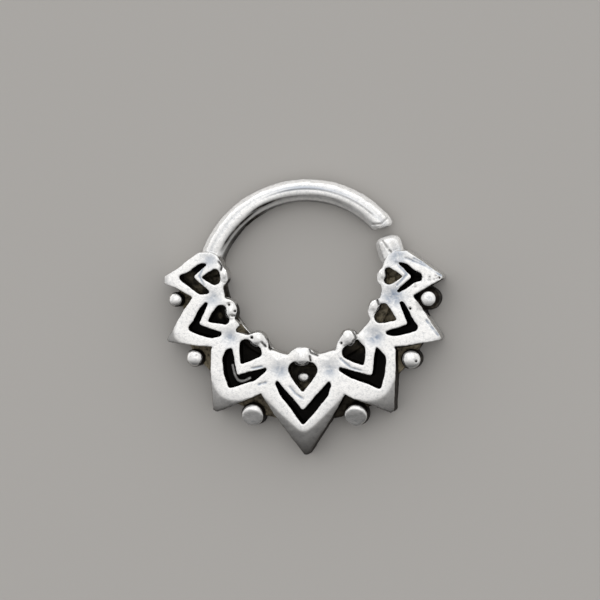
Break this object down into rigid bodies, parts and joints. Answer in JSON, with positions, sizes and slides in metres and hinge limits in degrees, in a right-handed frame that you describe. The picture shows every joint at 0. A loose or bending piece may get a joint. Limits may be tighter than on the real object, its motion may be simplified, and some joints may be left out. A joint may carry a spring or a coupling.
{
  "type": "septum ring",
  "caption": "Sprung wire hoop that carries a panel of lotus petals with beads between them, worn through the septum.",
  "frame": {"origin": "centre of the opening that the septum sits in, on the plane of the flat back", "axes": "+Z out of the decorated front, +Y from the bottom petal towards the top of the hoop, +X towards the stub and the hoop's free end"},
  "size_m": [0.0154, 0.0152, 0.0022],
  "materials": {
    "oxidised_silver": "polished high faces and wire, blackened slots, hearts and webs"
  },
  "bodies": {
    "root": {"septum_ring": "oxidised_silver"}
  },
  "joints": []
}
